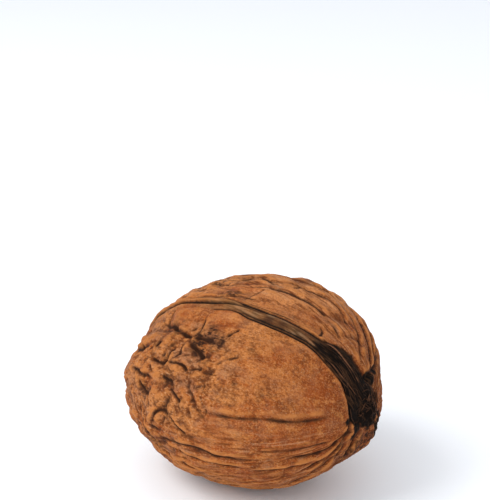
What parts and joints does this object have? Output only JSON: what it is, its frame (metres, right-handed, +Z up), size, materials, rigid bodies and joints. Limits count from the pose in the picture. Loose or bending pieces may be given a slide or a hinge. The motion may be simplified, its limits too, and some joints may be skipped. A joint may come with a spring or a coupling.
{
  "type": "walnut in shell",
  "caption": "Whole walnut in its closed shell, lying on its side, with a ridged seam, furrows and a rough stem end.",
  "frame": {"origin": "on the surface the nut rests on, under the centre of its box", "axes": "+X along the nut towards its stem end, +Z up; the upper seam leans towards -Y"},
  "size_m": [0.0421, 0.0344, 0.03],
  "materials": {
    "shell": "dry, low sheen"
  },
  "bodies": {
    "root": {"walnut": "shell"}
  },
  "joints": []
}
